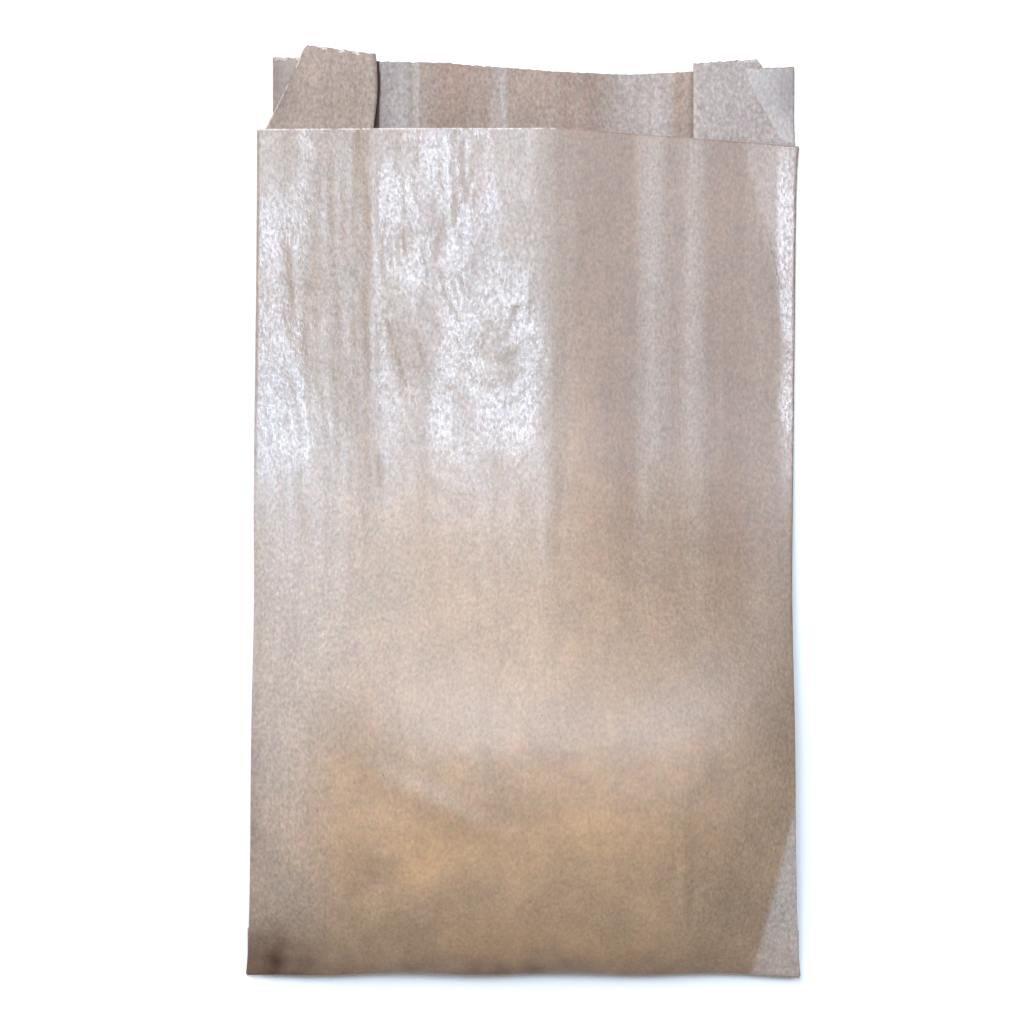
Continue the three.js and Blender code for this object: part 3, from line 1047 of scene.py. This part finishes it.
@dataclass
class BackPanel(Sheet):
    """The plain back, standing past the front as a lip, its sides turned up into the gussets."""

    pitch: float = 0.9
    fine_pitch: float = 0.3
    row_pitch: float = 2.0
    lip: tuple[Pair, ...] = (
        (-68.8, 124.4), (-38, 123.3), (-20, 123), (-18, 122.6), (-9, 122), (8, 120.7), (24, 119.9),
        (30, 119.8), (40, 120.2), (74.5, 121.9),
    )
    lip_start_y: float = 90.0
    slit: Zone = Zone(-44, -39.4, 1, 0.15)  # the painted shadow in the gap beside the left tab
    slit_left: float = 0.15  # it lies this much further to the left
    slit_bow: Triple = (0.45, 117.0, 5.0)  # and bows to the right: how far, at which y, and its reach
    # painted shade in the lip's corners behind the tabs
    corners: tuple[Spot, ...] = (Spot(-69, 116, 0.2, 6, 16), Spot(74, 112, 0.1, 6, 16))
    # the lip's bands: painted shade and painted grey sheen of its tilted strips, and its own tone
    bands: tuple[Zone, ...] = each(
        Zone, (-39.4, -28.6, -0.6, 0.3), (-31.6, -30.4, 0.5, 0.4), (-28.6, -10.2, 0.35, 0.3),
        (-23, -17.5, 0.35, 1.4), (-10, -8.8, 0.25, 0.4), (-8.6, -4.2, -0.35, 0.8), (-4, 9, 0.35, 1.5),
        (9, 22, 0.5, 2.5), (26, 41, -0.45, 2.5), (41, 50, 0.3, 1.5),
    )

    def place(self, a: float, b: float) -> Triple:
        """A point of the back.

        Args:
            a: across: -1 to 1 on the panel, and millimetres past the fold beyond that.
            b: along: 0 at the hem to 1 at the lip's edge.

        Returns:
            The point in millimetres.
        """
        form = self.form
        u = clamp(a)
        side = 1 if a > 0 else -1
        near_x = form.back_x(u, lerp(form.hem_y, self.lip[0][1], b))
        top = follow(self.lip, near_x) - tooth(near_x, 0.3)
        y = lerp(form.hem_edge_y(u) + 0.8, top, b)
        x = form.back_x(u, y)
        z = form.back_z(u, y) + form.lip_rise(x, y)
        if abs(a) <= 1:
            return x, y, z
        front, back, depth = form.gusset(y, side)
        out, down = self.wrap_point((side * x, -z), 0.0, atan2((front - back) / 2, depth), abs(a) - 1)
        return side * out, y, -down

    def painted_shade_at(self, x: float, y: float) -> float:
        """Returns how deep the painted shade of the gussets is in one place of the lip: the slit's painted
        shadow and the corners.
        """
        if y < self.lip_start_y:
            return 0.0
        bow, middle_y, reach = self.slit_bow
        bowed = x + self.slit_left - bow * bump(y - middle_y, reach)
        return min(1.0, self.slit.at(bowed, y) + sum(corner.at(x, y) for corner in self.corners))

    def tone_at(self, x: float, y: float) -> float:
        """Returns how warm or, below 0, how cool the lip's inner face is in one place: its bands are painted
        shade and sheen of its tilts.
        """
        leaning = x - 0.12 * (y - 113) * bump((x + 20) / 6, 1.0)
        streaks = 0.4 * rough(x / 1.6, y / 24, 3.1)
        return sum(band.at(leaning, y) for band in self.bands) + streaks

    def build(self) -> Object:
        """Returns the finished back panel."""
        form = self.form
        wrap = [1 + s for s in (0.18, 0.36, 0.55, 0.73, 0.92, 1.1, PAPER.wrap)]
        fine = spaced(-0.6, 0.0, self.fine_pitch / form.half)[1:-1]  # over the slit and where the lap seam would lie; the seam is not built
        across = spaced(-1, -0.6, self.pitch / form.half) + fine + spaced(0, 1, self.pitch / form.half)
        columns = [-w for w in reversed(wrap)] + across + wrap
        length = self.lip[0][1] - form.hem_y
        mouth = (form.front_cut_y - 8 - form.hem_y) / length
        rows = spaced(0, mouth, self.row_pitch / length) + spaced(mouth, 1, self.pitch / length)[1:]
        bm = paper_grid(columns, rows, self.place)
        bmesh.ops.reverse_faces(bm, faces=bm.faces[:])
        thicken(bm, PAPER.thickness)
        # painted shadow of the slit and painted shade in the corners, on the lip's inner face
        write_layer(bm, "painted_shade", self.painted_shade_at, least_up=0.0)  # the outer face stays plain
        # the lip's tone, with the bands' painted shade and sheen
        write_layer(bm, "tone_sheen_and_shade", self.tone_at, least_up=0.0)
        return sheet_object("back_panel", bm, self.finishes)


# ---- The studio ----


@dataclass(frozen=True)
class Softbox:
    """A soft area light that points at the bag."""

    name: str
    place: Triple
    size: Pair
    watts: float
    colour: str = "#ffffff"

    def build(self) -> Object:
        """Returns the light."""
        lamp = bpy.data.lights.new(self.name, "AREA")
        lamp.shape = "RECTANGLE"
        lamp.size, lamp.size_y = self.size
        lamp.energy = self.watts
        lamp.color = rgb(self.colour)[:3]
        light = linked(self.name, lamp)
        light.location = self.place
        light.rotation_euler = (-Vector(self.place)).to_track_quat("-Z", "Y").to_euler()
        light.visible_camera = False
        return light


@dataclass(frozen=True)
class Studio:
    """A pale table, soft lights and a camera straight above the bag."""

    frame_px: int = 1024
    px_mm: float = 0.2752
    middle_px: Pair = (523.0, 509.5)  # where the part's origin falls in the picture
    distance: float = 1.1
    lights: tuple[Softbox, ...] = each(
        Softbox,
        ("main_softbox", (-0.5, 1.1, 1.5), (1.4, 1), 20.5, "#f7f8ff"),
        ("gloss_softbox", (-0.13, 0.2, 1.2), (0.28, 0.4), 7, "#d6e8ff"),
        ("far_gloss_softbox", (-0.16, 0.62, 1.2), (0.34, 0.44), 2.4, "#d6e8ff"),
        ("right_strip", (0.5, 0.2, 1.15), (0.22, 0.5), 8, "#dceaff"),
        ("hem_softbox", (0, -1.3, 1.3), (1.2, 0.8), 4, "#fffaf4"),
        ("left_softbox", (-1.1, 0.3, 0.55), (0.5, 0.5), 7.2, "#f8faff"),
    )
    sky: str = "#ffffff"
    sky_strength: float = 0.17

    def build(self) -> None:
        """Makes the table, the lights, the sky and the camera."""
        scene = bpy.context.scene
        scene.view_settings.view_transform = "Standard"
        world = bpy.data.worlds.new("studio")
        world.use_nodes = True
        world.node_tree.nodes.clear()
        glow = {"Color": rgb(self.sky), "Strength": self.sky_strength}
        sky = add_node(world.node_tree, "Background", glow)
        add_node(world.node_tree, "OutputWorld", {"Surface": sky.outputs[0]})
        scene.world = world
        for light in self.lights:
            light.build()
        self.table()
        self.camera()

    def table(self) -> None:
        """Makes the pale table."""
        bm = bmesh.new()
        bmesh.ops.create_circle(bm, cap_ends=True, segments=96, radius=3.0)
        mesh = bpy.data.meshes.new("table")
        bm.to_mesh(mesh)
        bm.free()
        paint = bpy.data.materials.new("table_white_matt")
        paint.use_nodes = True
        shader = paint.node_tree.nodes["Principled BSDF"]
        for key, value in (("Base Color", rgb("#f6f6f5")), ("Roughness", 0.9), ("Specular IOR Level", 0.1)):
            shader.inputs[key].default_value = value
        mesh.materials.append(paint)
        table = linked("table", mesh)

    def camera(self) -> None:
        """Makes the camera, straight above, with the mouth at the picture's top."""
        centre = self.frame_px / 2
        x = (centre - self.middle_px[0]) * self.px_mm * MM
        y = (self.middle_px[1] - centre) * self.px_mm * MM
        lens = bpy.data.cameras.new("camera")
        lens.angle = 2 * atan(centre * self.px_mm * MM / self.distance)
        lens.clip_start = 0.01
        view = linked("camera", lens)
        view.location = (x, y, self.distance)
        bpy.context.scene.camera = view


def main() -> None:
    """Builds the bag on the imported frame, sheet by sheet, and then the studio."""
    logging.basicConfig(level=logging.INFO, format="%(name)s: %(message)s")
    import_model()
    form = BagForm()
    finishes = tuple(kind.value.material() for kind in Finish)
    sheets = (
        FrontPanel(form, finishes),
        # tone: the left tab painted darker, the right lighter as sheen; the corner spots are painted shade
        Gusset(form, finishes, side=-1, inner_x=-41.6, spring=1.6, sway=0.6, back_top=124.4, tone=0.15,
               top=((0, 104), (1.2, 104.6), (10.6, 123.6), (12, 126.6), (12.9, 127.9), (31, 125.2))),
        Gusset(form, finishes, side=1, inner_x=47.2, spring=0.0, back_top=121.4, tone=-0.6,
               corner=Spot(75, 115, 0.5, 8, 11),
               top=((0, 101.2), (1, 104.4), (6.5, 115.4), (10.4, 122.2), (11.4, 124.1), (31, 122.8))),
        BackPanel(form, finishes),
    )
    for sheet in sheets:
        piece = sheet.build()
        LOG.info("%s: %d faces", piece.name, len(piece.data.polygons))
    Studio().build()


if __name__ == "__main__":
    main()
